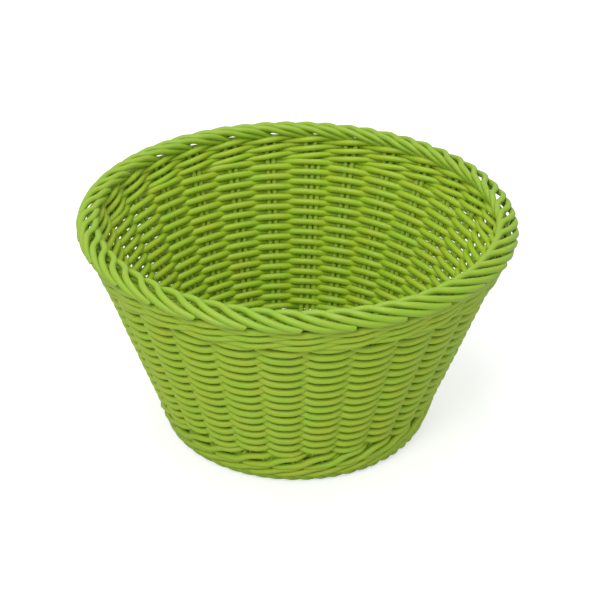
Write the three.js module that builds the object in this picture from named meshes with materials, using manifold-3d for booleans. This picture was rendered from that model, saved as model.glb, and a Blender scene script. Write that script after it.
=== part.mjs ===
// Round table basket woven from lime green plastic strands.
// Millimetres, +Z up, origin at the centre of the foot on the table, the front at -Y.
//
// Upright stakes, each a pair of strands side by side, stand in the foot border.
// Weaving courses pass outside one stake and inside the next, all the way round.
// A wale binds the stakes at the foot and another below the rim, and a rolled border
// holds their tips. The bottom is a disc of crossed sticks with its own courses.
import * as THREE from 'three';
import { mergeVertices } from 'three/addons/utils/BufferGeometryUtils.js';
import Module from 'manifold-3d';

const wasm = await Module();
wasm.setup();

// Overall sizes
const rimDiameter = 230;
const basketHeight = 124.5;
const wallDiameterAtTable = 141.5;
const rimOverhang = 3;

// Strands
const pairWidth = 6.2;
const strandThickness = 2.8;
const weaveThickness = 3.3;
const clearance = 0.3;
const mergeTolerance = 1e-4;

// Where two strands lie side by side: the shares of a pair's half width and half thickness
// that its rounded shoulders, the crests of its strands and the valley between them take
const shoulderShare = 0.45;
const crestShare = 0.25;
const valleyShare = 0.4;

// Bottom: sticks crossed in two layers, one stake each side of every stick end
const lowerStickCount = 4;
const upperStickCount = 3;
const baseCourseCount = 4;
const tieWidth = 6.5;
const tieHeight = 9.4;
const stickInsertion = 3;

// Wall
const wallCourseCount = 15;
const stakeInsertion = 2.5;
const tipInsertion = 4;
const wrapMargin = 0.55;

// Borders and wales
const footBorderHeight = 4.5;
const footBorderChamfer = 1.5;
const footBorderDrawIn = 5.25;
const footWaleHeight = 16.6;
const topWaleHeight = 13;
const rimBorderWidth = 13;
const rimBorderHeight = 8.6;
const rimBorderSides = 8;

const stickCount = lowerStickCount + upperStickCount;
const armCount = 2 * stickCount;
const stakeCount = 2 * armCount;
const armAngle = 2 * Math.PI / armCount;
const ringSegments = 2 * stakeCount;

// Satin plastic in three shades: the borders catch more light than the rows and the stakes
const weaveFinish = { color: '#86a838', roughness: 0.5 };
const stakeFinish = { color: '#7c9a34', roughness: 0.5 };
const borderFinish = { color: '#94bd45', roughness: 0.45 };

// The wall is a straight cone: its outer line, the line of the stakes and its inner line
const rimUnderside = basketHeight - rimBorderHeight;
const wallDiameterUnderRim = rimDiameter - 2 * rimOverhang;
const wallFlare = (wallDiameterUnderRim - wallDiameterAtTable) / 2 / rimUnderside;
const slantFactor = Math.hypot(1, wallFlare);
const wallHalf = (weaveThickness + clearance + strandThickness / 2) * slantFactor;
const weaveShift = (strandThickness / 2 + clearance + weaveThickness / 2) * slantFactor;
const wrapHalf = pairWidth / 2 + wrapMargin;

const outerRadius = (z) => wallDiameterAtTable / 2 + wallFlare * z;
const stakeRadius = (z) => outerRadius(z) - wallHalf;
const innerRadius = (z) => outerRadius(z) - 2 * wallHalf;

const footWaleBottom = footBorderHeight + clearance;
const footWaleTop = footWaleBottom + footWaleHeight;
const topWaleTop = rimUnderside - clearance;
const topWaleBottom = topWaleTop - topWaleHeight;

// The bottom disc lies half way up the foot border and the wale's lower strands
const baseHeight = footBorderHeight + clearance + strandThickness / 2 + clearance + weaveThickness / 2;
const stickPitch = pairWidth + clearance;
const stickLayer = (strandThickness + clearance) / 2;
const crossHalf = lowerStickCount * stickPitch / 2 + clearance;
const tieInner = crossHalf * Math.SQRT2 + clearance;
const tieOuter = tieInner + tieWidth;
const baseInner = tieOuter + clearance;
const baseOuter = innerRadius(footBorderHeight) - clearance;

function facingOut(geometry) {
  const points = geometry.getAttribute('position');
  const corners = geometry.index;
  const [a, b, c] = [new THREE.Vector3(), new THREE.Vector3(), new THREE.Vector3()];
  let volume = 0;
  for (let i = 0; i < corners.count; i += 3) {
    a.fromBufferAttribute(points, corners.getX(i));
    b.fromBufferAttribute(points, corners.getX(i + 1));
    c.fromBufferAttribute(points, corners.getX(i + 2));
    volume += a.dot(b.cross(c));
  }
  if (volume < 0) {
    corners.array.reverse();
  }
  return geometry;
}

// Joins a row of like outlines, each a list of points, into one closed skin. The row runs
// round to its start, or it ends in two caps that have the section given, [across, up]
function skin(outlines, section) {
  const size = outlines[0].length;
  const points = outlines.flat().flatMap((point) => [point.x, point.y, point.z]);
  const corners = [];
  const last = section ? outlines.length - 1 : outlines.length;
  for (let i = 0; i < last; i += 1) {
    const here = i * size;
    const next = ((i + 1) % outlines.length) * size;
    for (let j = 0; j < size; j += 1) {
      const k = (j + 1) % size;
      corners.push(here + j, next + j, next + k, here + j, next + k, here + k);
    }
  }
  if (section) {
    const flat = section.map(([across, up]) => new THREE.Vector2(across, up));
    const end = (outlines.length - 1) * size;
    for (const [p, q, r] of THREE.ShapeUtils.triangulateShape(flat, [])) {
      corners.push(p, q, r, end + r, end + q, end + p);
    }
  }
  const geometry = new THREE.BufferGeometry();
  geometry.setAttribute('position', new THREE.Float32BufferAttribute(points, 3));
  geometry.setIndex(corners);
  return facingOut(geometry);
}

// Two strands side by side, seen end on: [across, up]
function pairOutline() {
  const side = pairWidth / 2;
  const face = strandThickness / 2;
  const shoulder = side - shoulderShare * face;
  const crest = crestShare * side;
  const valley = valleyShare * face;
  return [
    [side, 0], [shoulder, face], [crest, face], [0, valley], [-crest, face], [-shoulder, face],
    [-side, 0], [-shoulder, -face], [-crest, -face], [0, -valley], [crest, -face], [shoulder, -face],
  ];
}

// The plain shape that leaves the clearance round a pair
function pairClearOutline() {
  const side = pairWidth / 2 + clearance;
  const face = strandThickness / 2 + clearance;
  const shoulder = side - shoulderShare * face;
  return [[side, 0], [shoulder, face], [-shoulder, face], [-side, 0], [-shoulder, -face], [shoulder, -face]];
}

function asSolid(geometry) {
  const bare = geometry.clone();
  bare.deleteAttribute('normal');
  bare.deleteAttribute('uv');
  const merged = mergeVertices(bare, mergeTolerance);
  return new wasm.Manifold(new wasm.Mesh({
    numProp: 3,
    vertProperties: new Float32Array(merged.getAttribute('position').array),
    triVerts: new Uint32Array(merged.index.array),
  }));
}

function asGeometry(solid) {
  const { vertProperties, triVerts } = solid.getMesh();
  const geometry = new THREE.BufferGeometry();
  geometry.setAttribute('position', new THREE.BufferAttribute(vertProperties, 3));
  geometry.setIndex(new THREE.BufferAttribute(triVerts, 1));
  return geometry;
}

function cut(geometry, cutters) {
  let solid = asSolid(geometry);
  for (const cutter of cutters) {
    solid = solid.subtract(asSolid(cutter));
  }
  return asGeometry(solid);
}

// A ring turned about the basket's axis from its outline, [radius, height], anticlockwise
function ring(outline) {
  const closed = [...outline, outline[0]].map(([radius, height]) => new THREE.Vector2(radius, height));
  return new THREE.LatheGeometry(closed, ringSegments).rotateX(Math.PI / 2);
}

// A straight upright on the cone, extruded along the height and leaned out with the wall
function upright(outline, angle, bottom, top) {
  const shape = new THREE.Shape(outline.map(([across, up]) => new THREE.Vector2(across, up * slantFactor)));
  const geometry = new THREE.ExtrudeGeometry(shape, { depth: top - bottom, bevelEnabled: false });
  const lean = new THREE.Matrix4().set(
    1, 0, 0, 0,
    0, 1, wallFlare, stakeRadius(bottom),
    0, 0, 1, bottom,
    0, 0, 0, 1,
  );
  return geometry.applyMatrix4(lean).rotateZ(angle - Math.PI / 2);
}

const stakeAngle = (index) => (index + 0.5) * armAngle / 2;
const stakeBottom = footBorderHeight - stakeInsertion;
const stakeTop = rimUnderside + tipInsertion;

function stake(index) {
  return upright(pairOutline(), stakeAngle(index), stakeBottom, stakeTop);
}

function stakeHoles() {
  const indices = [...Array(stakeCount).keys()];
  const bottom = stakeBottom - clearance;
  const top = stakeTop + clearance;
  return indices.map((index) => upright(pairClearOutline(), stakeAngle(index), bottom, top));
}

// Bottom sticks: side by side where they cross, then fanned out to their ends in the wale
function stickPath(layer, index) {
  const count = layer < 0 ? lowerStickCount : upperStickCount;
  const place = index - (count - 1) / 2;
  const turn = layer < 0 ? 0 : Math.PI / 2;
  const angle = place * armAngle;
  const across = place * stickPitch;
  const bend = place === 0 ? crossHalf : across / Math.tan(angle);
  const tip = innerRadius(baseHeight) + stickInsertion;
  const level = baseHeight + layer * stickLayer;
  const half = [
    new THREE.Vector3(bend, across, level),
    new THREE.Vector3(tieOuter * Math.cos(angle), tieOuter * Math.sin(angle), baseHeight),
    new THREE.Vector3(tip * Math.cos(angle), tip * Math.sin(angle), baseHeight),
  ];
  const mirrored = half.map((point) => new THREE.Vector3(-point.x, point.y, point.z)).reverse();
  const upAxis = new THREE.Vector3(0, 0, 1);
  return [...mirrored, ...half].map((point) => point.applyAxisAngle(upAxis, turn));
}

// The sections of a stick, or of the hole that it takes, along its path
function stickSections(layer, index, outline) {
  const path = stickPath(layer, index);
  const directions = path.slice(1).map((point, i) => point.clone().sub(path[i]).setZ(0).normalize());
  return path.map((point, i) => {
    const before = directions[Math.max(i - 1, 0)];
    const after = directions[Math.min(i, directions.length - 1)];
    const along = before.clone().add(after).normalize();
    const mitre = 1 / along.dot(after);
    const side = new THREE.Vector3(-along.y, along.x, 0).multiplyScalar(mitre);
    return outline.map(([across, up]) => point.clone().addScaledVector(side, across).setZ(point.z + up));
  });
}

function stickHoles() {
  const holes = [];
  for (const [layer, count] of [[-1, lowerStickCount], [1, upperStickCount]]) {
    for (let index = 0; index < count; index += 1) {
      holes.push(stickHole(layer, index));
    }
  }
  return holes;
}

// The same path with the clearance all round, and past the stick's two tips
function stickHole(layer, index) {
  const outlines = stickSections(layer, index, pairClearOutline());
  for (const end of [outlines[0], outlines[outlines.length - 1]]) {
    for (const point of end) {
      const radius = Math.hypot(point.x, point.y);
      point.setX(point.x * (1 + clearance / radius));
      point.setY(point.y * (1 + clearance / radius));
    }
  }
  return skin(outlines, pairClearOutline());
}

function stick(layer, index) {
  return skin(stickSections(layer, index, pairOutline()), pairOutline());
}

const onCircle = (radius, angle, z) =>
  new THREE.Vector3(radius * Math.cos(angle), radius * Math.sin(angle), z);

// One wall course: flat over each stake, outside and inside by turns, and slanting between them
function wallCourse(number) {
  const space = topWaleBottom - footWaleTop - clearance;
  const pitch = space / wallCourseCount;
  const bottom = footWaleTop + clearance + number * pitch;
  const top = bottom + pitch - clearance;
  const half = weaveThickness / 2 * slantFactor;
  const outlines = [];
  for (let index = 0; index < stakeCount; index += 1) {
    const shift = (index + number) % 2 === 0 ? weaveShift : -weaveShift;
    for (const side of [-1, 1]) {
      const corner = (z, depth) => {
        const angle = stakeAngle(index) + side * wrapHalf / stakeRadius(z);
        return onCircle(stakeRadius(z) + shift + depth, angle, z);
      };
      outlines.push([corner(bottom, -half), corner(bottom, half), corner(top, half), corner(top, -half)]);
    }
  }
  return skin(outlines);
}

// One course of the bottom: over one stick end and under the next
function baseCourse(number) {
  const pitch = (baseOuter - baseInner + clearance) / baseCourseCount;
  const inner = baseInner + number * pitch;
  const outer = inner + pitch - clearance;
  const half = weaveThickness / 2;
  const lift = strandThickness / 2 + clearance + half;
  const firstArm = armAngle * ((lowerStickCount - 1) / 2);
  const outlines = [];
  for (let index = 0; index < armCount; index += 1) {
    const level = baseHeight + ((index + number) % 2 === 0 ? lift : -lift);
    for (const side of [-1, 1]) {
      const corner = (radius, up) =>
        onCircle(radius, index * armAngle - firstArm + side * wrapHalf / radius, level + up);
      outlines.push([corner(inner, -half), corner(outer, -half), corner(outer, half), corner(inner, half)]);
    }
  }
  return skin(outlines);
}

function baseTie() {
  const low = baseHeight - tieHeight / 2;
  const high = baseHeight + tieHeight / 2;
  return cut(ring([[tieOuter, low], [tieOuter, high], [tieInner, high], [tieInner, low]]), stickHoles());
}

// Rope-like edge on the table: flat below, drawn in at its outer and inner corners
function footBorder() {
  const outer = outerRadius(footBorderHeight);
  const inner = innerRadius(footBorderHeight);
  const outline = [
    [outer - footBorderDrawIn, 0], [outer - footBorderChamfer, footBorderChamfer],
    [outer, footBorderHeight], [inner, footBorderHeight],
    [inner, footBorderChamfer], [inner + footBorderChamfer, 0],
  ];
  return cut(ring(outline), stakeHoles());
}

function wale(bottom, top, holes) {
  const outline = [
    [outerRadius(bottom), bottom], [outerRadius(top), top],
    [innerRadius(top), top], [innerRadius(bottom), bottom],
  ];
  return cut(ring(outline), holes);
}

// Rolled border: an oval of eight flats, with one below where the stakes' tips enter it
function rimBorder() {
  const halfWidth = rimBorderWidth / 2;
  const halfHeight = rimBorderHeight / 2;
  const middle = rimDiameter / 2 - halfWidth;
  const level = basketHeight - halfHeight;
  const reach = 1 / Math.cos(Math.PI / rimBorderSides);
  const outline = [...Array(rimBorderSides).keys()].map((side) => {
    const angle = (side + 0.5) * 2 * Math.PI / rimBorderSides;
    return [middle + halfWidth * reach * Math.cos(angle), level + halfHeight * reach * Math.sin(angle)];
  });
  return cut(ring(outline), stakeHoles());
}

const basket = new THREE.Group();

function add(name, geometry, finish) {
  const material = new THREE.MeshStandardMaterial({ ...finish, metalness: 0, flatShading: true });
  const mesh = new THREE.Mesh(geometry, material);
  mesh.name = name;
  basket.add(mesh);
}

const twoDigits = (number) => String(number).padStart(2, '0');

for (let index = 0; index < stakeCount; index += 1) {
  add(`stake_pair_${twoDigits(index + 1)}`, stake(index), stakeFinish);
}
for (let index = 0; index < lowerStickCount; index += 1) {
  add(`base_stick_lower_${index + 1}`, stick(-1, index), stakeFinish);
}
for (let index = 0; index < upperStickCount; index += 1) {
  add(`base_stick_upper_${index + 1}`, stick(1, index), stakeFinish);
}
add('base_tie', baseTie(), weaveFinish);
for (let number = 0; number < baseCourseCount; number += 1) {
  add(`base_course_${number + 1}`, baseCourse(number), weaveFinish);
}
add('foot_border', footBorder(), borderFinish);
add('foot_wale', wale(footWaleBottom, footWaleTop, [...stakeHoles(), ...stickHoles()]), weaveFinish);
for (let number = 0; number < wallCourseCount; number += 1) {
  add(`wall_course_${twoDigits(number + 1)}`, wallCourse(number), weaveFinish);
}
add('top_wale', wale(topWaleBottom, topWaleTop, stakeHoles()), weaveFinish);
add('rim_border', rimBorder(), borderFinish);

export default basket;
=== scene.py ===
"""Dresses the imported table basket: every strand of the weave as its own sweep."""
import math

import bpy
import numpy as np
from mathutils import Euler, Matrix
from mathutils import Vector


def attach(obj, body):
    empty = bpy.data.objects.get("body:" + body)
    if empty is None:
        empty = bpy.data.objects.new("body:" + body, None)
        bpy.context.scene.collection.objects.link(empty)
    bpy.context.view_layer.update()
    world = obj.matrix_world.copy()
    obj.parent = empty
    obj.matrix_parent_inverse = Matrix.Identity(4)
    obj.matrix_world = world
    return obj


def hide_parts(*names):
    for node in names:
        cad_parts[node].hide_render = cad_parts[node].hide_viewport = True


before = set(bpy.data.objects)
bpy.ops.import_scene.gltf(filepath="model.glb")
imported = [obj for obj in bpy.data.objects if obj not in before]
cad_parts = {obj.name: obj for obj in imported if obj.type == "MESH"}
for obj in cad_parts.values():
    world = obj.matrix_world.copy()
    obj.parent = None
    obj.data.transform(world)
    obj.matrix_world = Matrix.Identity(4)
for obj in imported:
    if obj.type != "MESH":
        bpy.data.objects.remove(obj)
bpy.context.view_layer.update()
chance = np.random.default_rng(28)

# Sizes, in millimetres, and counts, repeated from the part's source
RIM_DIAMETER = 230.0
BASKET_HEIGHT = 124.5
WALL_DIAMETER_AT_TABLE = 141.5
RIM_OVERHANG = 3.0
STAKE_COUNT = 28
PAIR_WIDTH = 6.2
STAKE_THICKNESS = 2.8
WEAVE_THICKNESS = 3.3
CLEARANCE = 0.3
FOOT_BORDER_HEIGHT = 4.5
FOOT_WALE_HEIGHT = 16.6
TOP_WALE_HEIGHT = 13.0
RIM_BORDER_WIDTH = 13.0
RIM_BORDER_HEIGHT = 8.6
WALL_COURSES = 15
BASE_COURSES = 4
TIE_WIDTH = 6.5

RIM_UNDERSIDE = BASKET_HEIGHT - RIM_BORDER_HEIGHT
FLARE = (RIM_DIAMETER / 2 - RIM_OVERHANG - WALL_DIAMETER_AT_TABLE / 2) / RIM_UNDERSIDE
SLANT = math.hypot(1, FLARE)
WALL_HALF = (WEAVE_THICKNESS + CLEARANCE + STAKE_THICKNESS / 2) * SLANT
STAKE_STEP = 2 * math.pi / STAKE_COUNT
FOOT_WALE_BOTTOM = FOOT_BORDER_HEIGHT + CLEARANCE
FOOT_WALE_TOP = FOOT_WALE_BOTTOM + FOOT_WALE_HEIGHT
TOP_WALE_TOP = RIM_UNDERSIDE - CLEARANCE
TOP_WALE_BOTTOM = TOP_WALE_TOP - TOP_WALE_HEIGHT
RIM_CENTRE_RADIUS = RIM_DIAMETER / 2 - RIM_BORDER_WIDTH / 2
RIM_CENTRE_HEIGHT = BASKET_HEIGHT - RIM_BORDER_HEIGHT / 2
BASE_LEVEL = FOOT_WALE_BOTTOM + STAKE_THICKNESS / 2 + CLEARANCE + WEAVE_THICKNESS / 2

MM_PER_METRE = 1000
# The sides of a strand's section, and the rings between two stakes along a row that goes round
SIDES = 12
STEPS_PER_STAKE = 10


def place_camera():
    """The photograph's viewpoint: a little above, and slightly to the left of the front."""
    data = bpy.data.cameras.new("camera")
    camera = bpy.data.objects.new("camera", data)
    bpy.context.collection.objects.link(camera)
    azimuth = math.radians(-2.7)
    elevation = math.radians(30.43)
    roll = math.radians(0.81)
    distance = 0.88
    middle = Vector((0, 0, 0.063))
    outward = Vector((
        math.sin(azimuth) * math.cos(elevation),
        -math.cos(azimuth) * math.cos(elevation),
        math.sin(elevation),
    ))
    camera.location = middle + outward * distance
    facing = (-outward).to_track_quat("-Z", "Y")
    turned = Euler((0, 0, roll)).to_quaternion()
    camera.rotation_euler = (facing @ turned).to_euler()
    data.sensor_width = 36
    data.lens = 98.04
    data.shift_x = 0.0062
    data.shift_y = 0.01529
    data.clip_start = 0.01
    data.clip_end = 20
    bpy.context.scene.camera = camera


place_camera()


def stake_angle(index):
    return (index + 0.5) * STAKE_STEP


def stake_radius(height):
    return WALL_DIAMETER_AT_TABLE / 2 + FLARE * height - WALL_HALF


def spun(radius, angle, height):
    """Points at a radius, an angle and a height round the basket's axis."""
    return np.stack([radius * np.cos(angle), radius * np.sin(angle), height + 0 * angle], -1)


def wall_outward(angle):
    """The wall's outward direction, square to its slant."""
    flat = 1 / SLANT
    return np.stack([flat * np.cos(angle), flat * np.sin(angle), -FLARE * flat + 0 * angle], -1)


def on_wall(angle, height, depth):
    """Points on the cone through the stakes, moved out from it by depth."""
    return spun(stake_radius(height), angle, height) + wall_outward(angle) * np.asarray(depth)[..., None]


def between(start, finish, share):
    return start + (finish - start) * share


def drift(count, size, knots):
    """A slow random wander that closes on itself, for the unevenness of hand weaving."""
    marks = chance.normal(0, size, knots)
    places = np.arange(count) * knots / count
    low = np.floor(places).astype(int)
    share = places - low
    share = share * share * (3 - 2 * share)
    return marks[low % knots] * (1 - share) + marks[(low + 1) % knots] * share


def smooth_path(knots, places):
    """Values on a soft curve through knots, each (place, value, value, ...)."""
    knots = np.asarray(knots, float)
    at = knots[:, 0]
    values = knots[:, 1:]
    slopes = np.gradient(values, at, axis=0)
    places = np.clip(places, at[0], at[-1])
    low = np.clip(np.searchsorted(at, places, side="right") - 1, 0, len(at) - 2)
    gap = at[low + 1] - at[low]
    t = ((places - at[low]) / gap)[:, None]
    gap = gap[:, None]
    start = (1 + 2 * t) * (1 - t) ** 2 * values[low] + t * (1 - t) ** 2 * gap * slopes[low]
    finish = t ** 2 * (3 - 2 * t) * values[low + 1] + t ** 2 * (t - 1) * gap * slopes[low + 1]
    return start + finish


# The rings of a strand's worn end, from its tip inwards: (half thicknesses past the path's end,
# share of the strand's section)
END_RINGS = [(0.55, 0.02), (0.55, 0.72), (0.33, 0.93)]


def rounded_ends(path, along, out, up, half_out, half_up):
    """Adds the worn edge and the cut face at both ends of a strand."""
    rings = len(END_RINGS)
    past, shares = np.transpose(END_RINGS)
    first = path[0] - along[0] * (past * half_up[0])[:, None]
    last = path[-1] + along[-1] * (past[::-1] * half_up[-1])[:, None]
    path = np.concatenate([first, path, last])
    along, out, up = (
        np.concatenate([np.repeat(way[:1], rings, 0), way, np.repeat(way[-1:], rings, 0)])
        for way in (along, out, up)
    )
    half_out, half_up = (
        np.concatenate([shares * half[0], half, shares[::-1] * half[-1]])
        for half in (half_out, half_up)
    )
    return path, along, out, up, half_out, half_up


# The pattern on the plastic, in millimetres: how far it counts round a strand, and the length that
# each strand's pattern starts somewhere in
PATTERN_GIRTH = 10.0
PATTERN_LENGTH = 4000


class Weaver:
    """Collects the strands of one piece and makes them into one mesh."""

    def __init__(self):
        self.points = []
        self.faces = []
        self.lay = []
        self.total = 0

    def strand(self, path, outward, half_out, half_up, closed=False, slant=0):
        """One strand along path, with its section's half sizes out from the wall and along it."""
        path = np.asarray(path, float)
        half_out = np.broadcast_to(half_out, len(path)).astype(float)
        half_up = np.broadcast_to(half_up, len(path)).astype(float)
        if closed:
            along = np.roll(path, -1, 0) - np.roll(path, 1, 0)
        else:
            along = np.gradient(path, axis=0)
        along /= np.linalg.norm(along, axis=1)[:, None]
        out = outward - (outward * along).sum(1)[:, None] * along
        out /= np.linalg.norm(out, axis=1)[:, None]
        up = np.cross(along, out)
        if not closed:
            path, along, out, up, half_out, half_up = rounded_ends(path, along, out, up, half_out, half_up)
        turn = np.arange(SIDES) * 2 * math.pi / SIDES
        ring_out = out[:, None] * (half_out[:, None] * np.cos(turn))[..., None]
        ring_up = up[:, None] * (half_up[:, None] * np.sin(turn))[..., None]
        points = path[:, None] + ring_out + ring_up
        if slant:
            cut = slice(-len(END_RINGS) - 1, None)
            height_on_cut = (ring_up[cut] * up[cut, None]).sum(-1)
            points[cut] -= along[cut, None] * (slant * height_on_cut)[..., None]
        steps = np.linalg.norm(np.diff(path, axis=0), axis=1)
        reach = np.concatenate([[0], np.cumsum(steps)]) + chance.uniform(0, PATTERN_LENGTH)
        self.add_skin(points, reach, closed)

    def add_skin(self, points, reach, closed):
        """Joins a strand's rings with quads, and lays the plastic's pattern along and round them."""
        count = len(points)
        rows = np.arange(count if closed else count - 1)[:, None]
        sides = np.arange(SIDES)
        next_rows = (rows + 1) % count
        next_sides = (sides + 1) % SIDES
        quads = np.stack([
            rows * SIDES + sides,
            rows * SIDES + next_sides,
            next_rows * SIDES + next_sides,
            next_rows * SIDES + sides,
        ], -1)
        reach = np.append(reach, 2 * reach[-1] - reach[-2])
        lay = np.empty((len(rows), SIDES, 4, 2))
        lay[:, :, [0, 1], 0] = reach[rows][..., None]
        lay[:, :, [2, 3], 0] = reach[rows + 1][..., None]
        lay[:, :, [0, 3], 1] = (sides / SIDES * PATTERN_GIRTH)[:, None]
        lay[:, :, [1, 2], 1] = ((sides + 1) / SIDES * PATTERN_GIRTH)[:, None]
        self.faces.append(quads.reshape(-1, 4) + self.total)
        self.lay.append(lay.reshape(-1, 2))
        self.points.append(points.reshape(-1, 3))
        self.total += count * SIDES

    def piece(self, name, material, slot, node):
        """The collected strands as one object that stands for, or helps to stand for, a CAD node."""
        points = np.concatenate(self.points) / MM_PER_METRE
        faces = np.concatenate(self.faces)
        mesh = bpy.data.meshes.new(name)
        mesh.vertices.add(len(points))
        mesh.vertices.foreach_set("co", points.ravel())
        mesh.loops.add(faces.size)
        mesh.loops.foreach_set("vertex_index", faces.ravel())
        mesh.polygons.add(len(faces))
        mesh.polygons.foreach_set("loop_start", np.arange(len(faces)) * 4)
        mesh.polygons.foreach_set("use_smooth", np.ones(len(faces), bool))
        mesh.update(calc_edges=True)
        layer = mesh.uv_layers.new(name="Lay")
        layer.data.foreach_set("uv", (np.concatenate(self.lay) / MM_PER_METRE).ravel())
        mesh.validate()
        made = bpy.data.objects.new(name, mesh)
        bpy.context.collection.objects.link(made)
        mesh.materials.append(material)
        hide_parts(node)
        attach(made, "root")


def linear(red, green, blue):
    """A screen colour, 0 to 255, as the linear colour that shaders use, by the sRGB curve."""
    shares = [value / 255 for value in (red, green, blue)]
    return [s / 12.92 if s <= 0.04045 else ((s + 0.055) / 1.055) ** 2.4 for s in shares] + [1]


def add_node(nodes, kind, operation=None, **values):
    """A new shader node, with its operation and the values of the sockets named."""
    node = nodes.new(kind)
    if operation:
        node.operation = operation
    for socket, value in values.items():
        node.inputs[socket.replace("_", " ")].default_value = value
    return node


# The plastic's pattern, in waves to the metre: the die's fine lines along and round a strand, the
# lengths of strand that differ in colour, and the patches of the basket that do
DIE_LINES = (60, 2600, 1)
STRAND_LENGTHS = (45, 1, 1)
PATCHES = 90


def drawn_plastic_group():
    """Satin plastic drawn through a die: fine lines along the strand and a slow change of colour."""
    group = bpy.data.node_groups.new("drawn_plastic", "ShaderNodeTree")
    for name, way, kind in (
        ("Plain colour", "INPUT", "NodeSocketColor"),
        ("Warm colour", "INPUT", "NodeSocketColor"),
        ("Line depth", "INPUT", "NodeSocketFloat"),
        ("Polish", "INPUT", "NodeSocketFloat"),
        ("Colour", "OUTPUT", "NodeSocketColor"),
        ("Roughness", "OUTPUT", "NodeSocketFloat"),
        ("Height", "OUTPUT", "NodeSocketFloat"),
    ):
        group.interface.new_socket(name, in_out=way, socket_type=kind)
    nodes = group.nodes
    links = group.links
    given = nodes.new("NodeGroupInput")
    result = nodes.new("NodeGroupOutput")
    lay = nodes.new("ShaderNodeUVMap")
    lay.uv_map = "Lay"
    place = nodes.new("ShaderNodeTexCoord")

    def noise_along_strand(waves, detail):
        stretch = add_node(nodes, "ShaderNodeMapping", Scale=waves)
        noise = add_node(nodes, "ShaderNodeTexNoise", Scale=1, Detail=detail)
        noise.noise_dimensions = "2D"
        links.new(lay.outputs["UV"], stretch.inputs["Vector"])
        links.new(stretch.outputs["Vector"], noise.inputs["Vector"])
        return noise

    lines = noise_along_strand(DIE_LINES, 3)
    lengths = noise_along_strand(STRAND_LENGTHS, 2)
    patches = add_node(nodes, "ShaderNodeTexNoise", Scale=PATCHES, Detail=3)
    links.new(place.outputs["Object"], patches.inputs["Vector"])

    both = add_node(nodes, "ShaderNodeMath", "ADD")
    links.new(patches.outputs["Fac"], both.inputs[0])
    links.new(lengths.outputs["Fac"], both.inputs[1])
    warm_share = add_node(nodes, "ShaderNodeMapRange", From_Min=0.7, From_Max=1.3)
    links.new(both.outputs["Value"], warm_share.inputs["Value"])
    blend = nodes.new("ShaderNodeMix")
    blend.data_type = "RGBA"
    links.new(warm_share.outputs["Result"], blend.inputs["Factor"])
    links.new(given.outputs["Plain colour"], blend.inputs["A"])
    links.new(given.outputs["Warm colour"], blend.inputs["B"])

    shade = add_node(nodes, "ShaderNodeMapRange", From_Min=0.3, From_Max=0.7, To_Min=0.93, To_Max=1.05)
    links.new(lines.outputs["Fac"], shade.inputs["Value"])
    lined = add_node(nodes, "ShaderNodeVectorMath", "SCALE")
    links.new(blend.outputs["Result"], lined.inputs["Vector"])
    links.new(shade.outputs["Result"], lined.inputs["Scale"])
    links.new(lined.outputs["Vector"], result.inputs["Colour"])

    rough = add_node(nodes, "ShaderNodeMath", "MULTIPLY_ADD")
    roughness_of_lines = 0.16
    rough.inputs[1].default_value = roughness_of_lines
    links.new(lines.outputs["Fac"], rough.inputs[0])
    links.new(given.outputs["Polish"], rough.inputs[2])
    links.new(rough.outputs["Value"], result.inputs["Roughness"])

    relief = add_node(nodes, "ShaderNodeMath", "MULTIPLY")
    links.new(lines.outputs["Fac"], relief.inputs[0])
    links.new(given.outputs["Line depth"], relief.inputs[1])
    links.new(relief.outputs["Value"], result.inputs["Height"])
    return group


DRAWN_PLASTIC = drawn_plastic_group()


def strand_material(name, plain, warm, polish):
    """Drawn plastic in two near colours. Polish is the roughness that it starts from."""
    material = bpy.data.materials.new(name)
    material.use_nodes = True
    nodes = material.node_tree.nodes
    links = material.node_tree.links
    shader = nodes["Principled BSDF"]
    plastic = nodes.new("ShaderNodeGroup")
    plastic.node_tree = DRAWN_PLASTIC
    plastic.inputs["Plain colour"].default_value = plain
    plastic.inputs["Warm colour"].default_value = warm
    plastic.inputs["Line depth"].default_value = 0.8
    plastic.inputs["Polish"].default_value = polish
    bump = add_node(nodes, "ShaderNodeBump", Distance=0.0002, Strength=0.5)
    links.new(plastic.outputs["Height"], bump.inputs["Height"])
    links.new(plastic.outputs["Colour"], shader.inputs["Base Color"])
    links.new(plastic.outputs["Roughness"], shader.inputs["Roughness"])
    links.new(bump.outputs["Normal"], shader.inputs["Normal"])
    shader.inputs["IOR"].default_value = 1.49
    return material


# The stakes' strands run on into the rim and foot borders, yet are given two colours: on the wall and
# bottom a lighter one, painted light where they sit back in the weave's gaps, and in the borders a darker,
# greener one, painted shade and tint set against the light on the rim
LIT_STAKE_PLASTIC = strand_material("stake_plastic_painted_light", linear(162, 196, 62), linear(172, 194, 62), 0.42)
WEAVE_PLASTIC = strand_material("weave_plastic", linear(151, 189, 40), linear(165, 187, 42), 0.42)
SHADED_BORDER_PLASTIC = strand_material("border_plastic_painted_shade", linear(137, 178, 42), linear(149, 176, 42), 0.40)


# How broad the crests of a plain weave's wave are, from 0, a plain cosine
CREST_BREADTH = 0.09


def arch(turns):
    """A wave with broad crests, as a stiff strand makes over pairs of stakes. A turn is a full wave."""
    angle = 2 * math.pi * turns
    return (np.cos(angle) - CREST_BREADTH * np.cos(3 * angle)) / (1 - CREST_BREADTH)


# Wall rows: how far they press into the wales below and above, how far a strand's middle swings from
# the stakes, how far it sags outside them, and the half sizes of its section, (out from the wall,
# along it), where it passes a stake and where it crosses its neighbours between two. The lowest row
# is flatter there, which opens the gaps over the foot wale.
PRESSED_INTO_FOOT_WALE = 0.4
PRESSED_INTO_TOP_WALE = 1.3
WALL_SWING = 2.65
WALL_SAG = 0.4
WALL_HALVES_AT_STAKE = (1.76, 1.82)
WALL_HALVES_AT_CROSSING = (1.92, 1.94)
LOWEST_ROW_HALF_UP = 1.5


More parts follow.
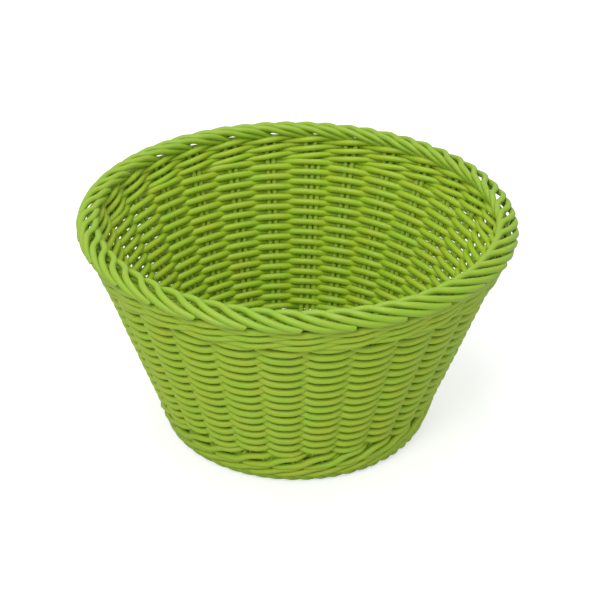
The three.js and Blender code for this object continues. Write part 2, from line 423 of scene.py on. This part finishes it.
def weave_wall_rows():
    """Thirty rows of plain weave between the wales, packed close and swaying a little together."""
    bottom = FOOT_WALE_TOP - PRESSED_INTO_FOOT_WALE
    top = TOP_WALE_BOTTOM + PRESSED_INTO_TOP_WALE
    count = STAKE_COUNT * STEPS_PER_STAKE
    angle = np.arange(count) * 2 * math.pi / count
    sway = drift(count, size=0.4, knots=7)
    for row in range(2 * WALL_COURSES):
        wave = arch(angle / (2 * STAKE_STEP) - 0.25 + 0.5 * (row % 2))
        near_stake = np.abs(wave)
        depth = wave * (WALL_SWING + drift(count, size=0.12, knots=STAKE_COUNT))
        share = (row + 0.5) / WALL_COURSES / 2
        height = between(bottom, top, share) + 4 * share * (1 - share) * sway
        height = height + drift(count, size=0.1, knots=STAKE_COUNT) - WALL_SAG * wave
        out_at_crossing, up_at_crossing = WALL_HALVES_AT_CROSSING
        if row == 0:
            up_at_crossing = LOWEST_ROW_HALF_UP
        half_out = between(out_at_crossing, WALL_HALVES_AT_STAKE[0], near_stake)
        half_up = between(up_at_crossing, WALL_HALVES_AT_STAKE[1], near_stake)
        woven = Weaver()
        woven.strand(on_wall(angle, height, depth), wall_outward(angle), half_out, half_up, closed=True)
        course = f"wall_course_{row // 2 + 1:02d}"
        woven.piece(f"wall_row_{row + 1:02d}", WEAVE_PLASTIC, "weave_strand", course)


# Wales: how far a strand stands out from the stakes as it passes inside one and outside two, as the
# sizes of a wave, its second and its third, after its middle
TOP_WALE_WAVES = (1.15, -3.25, -0.65, -0.35)
FOOT_WALE_WAVES = (1.63, -2.87, -1.33, -0.53)
TOP_WALE_ROWS = 3
FOOT_WALE_ROWS = 2
# The height of a wale's lowest row above the wale's bottom, and of each row above the one below
TOP_WALE_START = 3.5
TOP_WALE_PITCH = 4.45
FOOT_WALE_START = 3.5
FOOT_WALE_PITCH = 5.9
# Half sizes of a wale's strand, out from the wall, and along it where it runs free
WALE_HALF_OUT = 1.66
WALE_HALF_UP = 1.72


def wale_row(middle, rise, top_rise, inner_rise, half_up, waves):
    """Three-strand waling: outside two stakes and inside one, wound three times round. Outside, a
    strand rises to the right, from rise under its middle height to rise over it. Top_rise lifts its
    upper half further, inner_rise its pass inside, and half_up is its half size where strands cross."""
    laps = 3
    count = laps * STAKE_COUNT * STEPS_PER_STAKE
    stakes = np.arange(count) / STEPS_PER_STAKE
    angle = stakes * STAKE_STEP + stake_angle(0)
    phase = 2 * math.pi * stakes / laps
    depth = sum(wave * np.cos(order * phase) for order, wave in enumerate(waves))
    lift = -rise * np.sin(phase)
    lift = lift + np.where(lift > 0, top_rise * lift / rise, 0)
    lift = lift + inner_rise * np.clip(np.cos(phase), 0, 1) ** 2
    running_free = np.clip((1 + 2 * np.cos(2 * phase)) / 3, 0, 1)
    height = middle + lift + drift(count, size=0.12, knots=laps * STAKE_COUNT)
    row = Weaver()
    row.strand(
        on_wall(angle, height, depth), wall_outward(angle),
        WALE_HALF_OUT, between(half_up, WALE_HALF_UP, running_free), closed=True,
    )
    return row


def weave_wales():
    for row in range(TOP_WALE_ROWS):
        middle = TOP_WALE_BOTTOM + TOP_WALE_START + row * TOP_WALE_PITCH
        top = wale_row(middle, rise=1.4, top_rise=0, inner_rise=0, half_up=1.45, waves=TOP_WALE_WAVES)
        top.piece(f"top_wale_row_{row + 1}", WEAVE_PLASTIC, "weave_strand", "top_wale")
    for row in range(FOOT_WALE_ROWS):
        middle = FOOT_WALE_BOTTOM + FOOT_WALE_START + row * FOOT_WALE_PITCH
        # The upper row reaches up between the wall's lowest strands and leaves gaps under them
        foot = wale_row(
            middle, rise=2.4, top_rise=row * 2.6, inner_rise=row * 3.0, half_up=1.65, waves=FOOT_WALE_WAVES
        )
        foot.piece(f"foot_wale_row_{row + 1}", WEAVE_PLASTIC, "weave_strand", "foot_wale")


# The heights that a stake's strands begin and end at, inside the two borders, and their rings
STAKE_FOOT = 3.2
STAKE_TIP = RIM_UNDERSIDE + 0.6
STAKE_POINTS = 60
# How far a strand of a stake lies to each side of its middle, how much further that may grow up the
# wall and grows at the top, and how far the right strand lies out from the left, halved
STAKE_SPREAD = 1.65
OPENING = 0.2
PARTING = 1.35
PAIR_TURN = 0.1
# One stake at the back has a third strand, which ends below the top wale
MENDED_STAKE = 6
THIRD_STRAND = -3


def stand_stakes():
    """Two strands to a stake, a little apart, which part further as they near the rim."""
    heights = np.linspace(STAKE_FOOT, STAKE_TIP, STAKE_POINTS)
    below_top_wale = heights < TOP_WALE_BOTTOM
    rise = (heights - STAKE_FOOT) / (STAKE_TIP - STAKE_FOOT)
    parting = PARTING * np.clip((heights - TOP_WALE_BOTTOM) / TOP_WALE_HEIGHT, 0, 1) ** 1.5
    for index in range(STAKE_COUNT):
        opening = OPENING * rise * chance.uniform(0.2, 1.2)
        spread = STAKE_SPREAD + opening + drift(STAKE_POINTS, size=0.1, knots=5) + parting
        lean = drift(STAKE_POINTS, size=0.6, knots=4) * (1 - rise) * rise
        stakes = Weaver()
        for side in (THIRD_STRAND, -1, 1) if index == MENDED_STAKE else (-1, 1):
            angle = stake_angle(index) + (side * spread + lean) / stake_radius(heights)
            path = on_wall(angle, heights, np.full(STAKE_POINTS, side * PAIR_TURN))
            outward = wall_outward(angle)
            if side == THIRD_STRAND:
                path = path[below_top_wale]
                outward = outward[below_top_wale]
            stakes.strand(path, outward, STAKE_THICKNESS / 2, STAKE_THICKNESS / 2)
        stakes.piece(
            f"stake_strands_{index + 1:02d}", LIT_STAKE_PLASTIC, "stake_strand", f"stake_pair_{index + 1:02d}"
        )


# The rolled border's tips, each place as (stake spacings past the tip's crest, out from the border's
# middle, up from it). A tip climbs inside from its stake, loops over the inner edge and comes down
# the outer face. Of a stake's two tips, the one with the short climb has the long end.
LONG_CLIMB = [
    (-1.05, -1.4, -4.6),
    (-0.90, -2.4, -3.3),
    (-0.70, -3.4, -2.0),
    (-0.50, -4.1, -0.7),
    (-0.30, -4.2, 0.6),
]
SHORT_CLIMB = [
    (-0.69, -1.4, -4.6),
    (-0.58, -2.5, -2.8),
    (-0.45, -3.6, -0.8),
    (-0.30, -4.1, 0.6),
]
LOOP = [
    (-0.14, -4.0, 1.75),
    (0.00, -3.6, 2.3),
    (0.13, -2.9, 2.45),
    (0.22, -1.9, 2.4),
    (0.28, -0.8, 2.35),
    (0.34, 0.3, 2.3),
    (0.41, 1.3, 2.2),
    (0.50, 2.3, 1.95),
    (0.60, 3.05, 1.35),
    (0.75, 3.75, 0.4),
    (0.90, 4.3, -0.6),
    (1.05, 4.6, -1.5),
]
SHORT_END = [(1.22, 4.6, -2.3)]
LONG_END = [(1.20, 4.5, -2.35), (1.45, 3.95, -2.95), (1.65, 3.6, -3.2)]
# Stake spacings from a stake to the crests of its two tips, and how far they stray, in radians
SHORT_CLIMB_CREST = 0.62
LONG_CLIMB_CREST = 1.12
CREST_STRAY = 0.004
# The rolled border's strands: their thickness, the distance between their rings, how far a cut end
# slants to each millimetre across, and how many times wider than high the border counts as where
# their sections turn round it
RIM_STRAND = 3.38
RIM_RING_STEP = 0.9
RIM_CUT_SLANT = 0.8
RIM_FLATNESS = 1.6


def rim_tip(weaver, lay, crest):
    """One tip of the border along its lay, from its stake to its slanting cut."""
    lay = np.asarray(lay, float)
    places = lay * [STAKE_STEP * RIM_CENTRE_RADIUS, 1, 1]
    lengths = np.linalg.norm(np.diff(places, axis=0), axis=1)
    reach = np.concatenate([[0], np.cumsum(lengths)])
    count = int(reach[-1] / RIM_RING_STEP)
    section = smooth_path(np.column_stack([reach, lay]), np.linspace(0, reach[-1], count))
    # The tip keeps to its stake over the first sixth of its way, and strays a little after that
    free = np.clip(np.linspace(0, 6, count), 0, 1)
    angle = crest + section[:, 0] * STAKE_STEP
    out_from_middle = section[:, 1] + free * drift(count, size=0.08, knots=7)
    up_from_middle = section[:, 2] + free * drift(count, size=0.06, knots=7)
    path = spun(RIM_CENTRE_RADIUS + out_from_middle, angle, RIM_CENTRE_HEIGHT + up_from_middle)
    turn = np.arctan2(section[:, 2] * RIM_FLATNESS, section[:, 1])
    outward = spun(np.cos(turn), angle, np.sin(turn))
    weaver.strand(path, outward, RIM_STRAND / 2, RIM_STRAND / 2, slant=RIM_CUT_SLANT)


def roll_rim_border():
    for index in range(STAKE_COUNT):
        tips = Weaver()
        for lay, crest in (
            (SHORT_CLIMB + LOOP + LONG_END, SHORT_CLIMB_CREST),
            (LONG_CLIMB + LOOP + SHORT_END, LONG_CLIMB_CREST),
        ):
            rim_tip(tips, lay, stake_angle(index) + crest * STAKE_STEP + chance.normal(0, CREST_STRAY))
        tips.piece(f"rim_strands_{index + 1:02d}", SHADED_BORDER_PLASTIC, "border_strand", "rim_border")


# The foot's strands, turned under to the right: (stake spacings, out from the stake line, height)
FOOT_LAY = [
    (-0.15, -0.2, 7.2),
    (0.05, 1.7, 6.5),
    (0.25, 3.1, 5.3),
    (0.50, 3.7, 3.7),
    (0.75, 3.0, 2.3),
    (1.00, 1.4, 1.6),
    (1.25, -0.6, 1.55),
    (1.50, -2.3, 2.3),
    (1.70, -3.0, 3.6),
]
# The distance between their rings, in stake spacings, the height that their sections turn round, half
# their thickness, and how far they stray, in radians
FOOT_LAY_STEP = 0.05
FOOT_MIDDLE_HEIGHT = 3.6
FOOT_STRAND_HALF = 1.55
FOOT_STRAY = 0.006


def roll_foot_border():
    """Two strands to a stake, which turn under the wall side by side."""
    spacings = np.arange(FOOT_LAY[0][0], FOOT_LAY[-1][0], FOOT_LAY_STEP)
    out, height = smooth_path(FOOT_LAY, spacings).T
    turn = np.arctan2(height - FOOT_MIDDLE_HEIGHT, out)
    for index in range(STAKE_COUNT):
        ends = Weaver()
        for behind in (0, 0.5):
            angle = stake_angle(index) + (spacings + behind) * STAKE_STEP + chance.normal(0, FOOT_STRAY)
            path = spun(stake_radius(height) + out, angle, height)
            outward = spun(np.cos(turn), angle, np.sin(turn))
            ends.strand(path, outward, FOOT_STRAND_HALF, FOOT_STRAND_HALF)
        ends.piece(f"foot_strands_{index + 1:02d}", SHADED_BORDER_PLASTIC, "border_strand", "foot_border")


# The bottom's sticks: their pitch across the cross, the cross's half width, the radii that its binding
# lies between, how far they reach into the foot wale, and the radius of their tips there
STICK_PITCH = PAIR_WIDTH + CLEARANCE
CROSS_HALF = 2 * STICK_PITCH + CLEARANCE
TIE_INNER = CROSS_HALF * math.sqrt(2) + CLEARANCE
TIE_OUTER = TIE_INNER + TIE_WIDTH
STICK_GRIP = 3
STICK_TIP = stake_radius(BASE_LEVEL) - WALL_HALF + STICK_GRIP
LOWER_STICKS = 4
UPPER_STICKS = 3
ARMS = 2 * (LOWER_STICKS + UPPER_STICKS)
ARM_STEP = 2 * math.pi / ARMS
STICK_SPREAD = 1.6
STICK_POINTS = 80
# The share of the way to its bend that a stick runs straight
STRAIGHT = 0.75
UPWARD = [0.0, 0.0, 1.0]


def lay_stick(name, place, layer, turn):
    """A pair of strands across the bottom: straight over the cross, then fanned out to the foot."""
    fan = place * ARM_STEP
    across = place * STICK_PITCH
    bend = CROSS_HALF if place == 0 else across / math.tan(fan)
    level = layer * (STAKE_THICKNESS + CLEARANCE) / 2
    half = [
        (0.0, 0.0, across, level),
        (STRAIGHT * bend, STRAIGHT * bend, across, level),
        (TIE_OUTER, TIE_OUTER * math.cos(fan), TIE_OUTER * math.sin(fan), 0),
        (STICK_TIP, STICK_TIP * math.cos(fan), STICK_TIP * math.sin(fan), 0),
    ]
    mirrored = [(-reach, -x, y, z) for reach, x, y, z in half[:0:-1]]
    run = smooth_path(mirrored + half, np.linspace(-STICK_TIP, STICK_TIP, STICK_POINTS))
    along = np.gradient(run[:, :2], axis=0)
    along /= np.linalg.norm(along, axis=1)[:, None]
    sticks = Weaver()
    for side in (-1, 1):
        x = run[:, 0] - along[:, 1] * side * STICK_SPREAD
        y = run[:, 1] + along[:, 0] * side * STICK_SPREAD
        turned_x = x * math.cos(turn) - y * math.sin(turn)
        turned_y = x * math.sin(turn) + y * math.cos(turn)
        path = np.stack([turned_x, turned_y, run[:, 2] + BASE_LEVEL], -1)
        up = np.broadcast_to(UPWARD, path.shape)
        sticks.strand(path, up, STAKE_THICKNESS / 2, STAKE_THICKNESS / 2)
    sticks.piece(f"{name}_strands", LIT_STAKE_PLASTIC, "stake_strand", name)


def cross_sticks():
    """Two layers of sticks, the upper one at right angles to the lower."""
    for word, layer, count, turn in (
        ("lower", -1, LOWER_STICKS, 0.0),
        ("upper", 1, UPPER_STICKS, math.pi / 2),
    ):
        for index in range(count):
            lay_stick(f"base_stick_{word}_{index + 1}", index - (count - 1) / 2, layer, turn)


# The bottom's rows: how far their middles swing over and under the sticks, their section's half sizes,
# up and across, and the radii of the two rounds that bind the sticks
BASE_SWING = 3.1
BASE_HALVES = (1.6, 1.66)
STEPS_PER_ARM = 16
ROWS_PER_BASE_COURSE = 3
TIE_ROUNDS = (TIE_INNER + 1.7, TIE_OUTER - 1.5)
# How far past the courses one more row lies, which closes the gap along the foot
LAST_ROW_OUT = 0.9


def weave_bottom():
    """Two rounds that bind the sticks, with rows of plain weave out to the foot."""
    outer = stake_radius(FOOT_BORDER_HEIGHT) - WALL_HALF - CLEARANCE
    first_arm = 1.5 * ARM_STEP
    count = ARMS * STEPS_PER_ARM
    angle = np.arange(count) * 2 * math.pi / count
    ties = len(TIE_ROUNDS)
    rows = [(radius, "base_tie") for radius in TIE_ROUNDS]
    pitch = (outer - TIE_OUTER - CLEARANCE) / (ROWS_PER_BASE_COURSE * BASE_COURSES)
    for row in range(ROWS_PER_BASE_COURSE * BASE_COURSES):
        course = row // ROWS_PER_BASE_COURSE + 1
        rows.append((TIE_OUTER + CLEARANCE + (row + 0.5) * pitch, f"base_course_{course}"))
    rows.append((outer + LAST_ROW_OUT, f"base_course_{BASE_COURSES}"))
    for row, (radius, node) in enumerate(rows):
        wave = arch((angle + first_arm) / (2 * ARM_STEP) + 0.5 * (row % 2))
        level = BASE_LEVEL + wave * BASE_SWING + drift(count, size=0.1, knots=ARMS)
        path = spun(radius + drift(count, size=0.12, knots=ARMS), angle, level)
        weave = Weaver()
        weave.strand(path, np.broadcast_to(UPWARD, path.shape), *BASE_HALVES, closed=True)
        name = f"base_tie_round_{row + 1}" if row < ties else f"base_row_{row - ties + 1:02d}"
        weave.piece(name, WEAVE_PLASTIC, "weave_strand", node)


stand_stakes()
weave_wall_rows()
weave_wales()
roll_rim_border()
roll_foot_border()
cross_sticks()
weave_bottom()


WHITE = (1, 1, 1, 1)
# The height, in metres, that the lights face
BASKET_MIDDLE = 0.05


def light_studio():
    """A soft dome, which the camera sees as white, and two large softboxes."""
    bpy.context.scene.view_settings.view_transform = "Standard"
    world = bpy.data.worlds.new("studio")
    bpy.context.scene.world = world
    world.use_nodes = True
    nodes = world.node_tree.nodes
    links = world.node_tree.links
    dome = nodes["Background"]
    dome.inputs["Color"].default_value = WHITE
    dome.inputs["Strength"].default_value = 0.73
    backdrop = add_node(nodes, "ShaderNodeBackground", Color=WHITE, Strength=1)
    rays = nodes.new("ShaderNodeLightPath")
    pick = nodes.new("ShaderNodeMixShader")
    links.new(rays.outputs["Is Camera Ray"], pick.inputs["Fac"])
    links.new(dome.outputs["Background"], pick.inputs[1])
    links.new(backdrop.outputs["Background"], pick.inputs[2])
    links.new(pick.outputs["Shader"], nodes["World Output"].inputs["Surface"])
    softbox("softbox_above", (-0.15, -0.1, 1.5), power=6.5, width=0.9)
    softbox("softbox_front", (-0.45, -1.05, 1.2), power=8.4, width=0.6)


def softbox(name, place, power, width):
    """A round soft light that faces the basket's middle."""
    data = bpy.data.lights.new(name, "AREA")
    data.shape = "DISK"
    data.size = width
    data.energy = power
    lamp = bpy.data.objects.new(name, data)
    lamp.location = place
    aim = Vector((0, 0, BASKET_MIDDLE)) - Vector(place)
    lamp.rotation_euler = aim.to_track_quat("-Z", "Y").to_euler()
    bpy.context.collection.objects.link(lamp)


# The glow that makes the paper white to the camera, and the radii, in metres, that it comes on between;
# inside them it is left off, as a painted shadow under the basket
PAPER_GLOW = 0.58
PAINTED_SHADOW_RADIUS = 0.060
PAINTED_SHADOW_FADE_END = 0.068


def white_paper():
    """Paper that the camera sees as white, with the basket's shadow on it and a painted shadow where its
    glow is left off under the basket.
    """
    paper = bpy.data.materials.new("white_paper")
    paper.use_nodes = True
    nodes = paper.node_tree.nodes
    links = paper.node_tree.links
    shader = nodes["Principled BSDF"]
    shader.inputs["Base Color"].default_value = (0.62, 0.62, 0.62, 1)
    shader.inputs["Roughness"].default_value = 0.9
    shader.inputs["Specular IOR Level"].default_value = 0.1
    shader.inputs["Emission Color"].default_value = WHITE
    # Painted shadow: the glow is left off on the paper under the basket, so the paper there stays dark
    # where it shows through the gaps at the foot
    place = nodes.new("ShaderNodeTexCoord")
    distance = add_node(nodes, "ShaderNodeVectorMath", "LENGTH")
    glow_past_painted_shadow = add_node(
        nodes, "ShaderNodeMapRange", From_Min=PAINTED_SHADOW_RADIUS, From_Max=PAINTED_SHADOW_FADE_END, To_Max=PAPER_GLOW
    )
    rays = nodes.new("ShaderNodeLightPath")
    glow = add_node(nodes, "ShaderNodeMath", "MULTIPLY")
    links.new(place.outputs["Object"], distance.inputs[0])
    links.new(distance.outputs["Value"], glow_past_painted_shadow.inputs["Value"])
    links.new(rays.outputs["Is Camera Ray"], glow.inputs[0])
    links.new(glow_past_painted_shadow.outputs["Result"], glow.inputs[1])
    links.new(glow.outputs["Value"], shader.inputs["Emission Strength"])
    return paper


def lay_floor():
    """A square of paper on the table, six metres from its middle to each side."""
    reach = 6
    corners = [(-reach, -reach, 0), (reach, -reach, 0), (reach, reach, 0), (-reach, reach, 0)]
    plane = bpy.data.meshes.new("floor")
    plane.from_pydata(corners, [], [(0, 1, 2, 3)])
    plane.materials.append(white_paper())
    floor = bpy.data.objects.new("floor", plane)
    bpy.context.collection.objects.link(floor)


light_studio()
lay_floor()
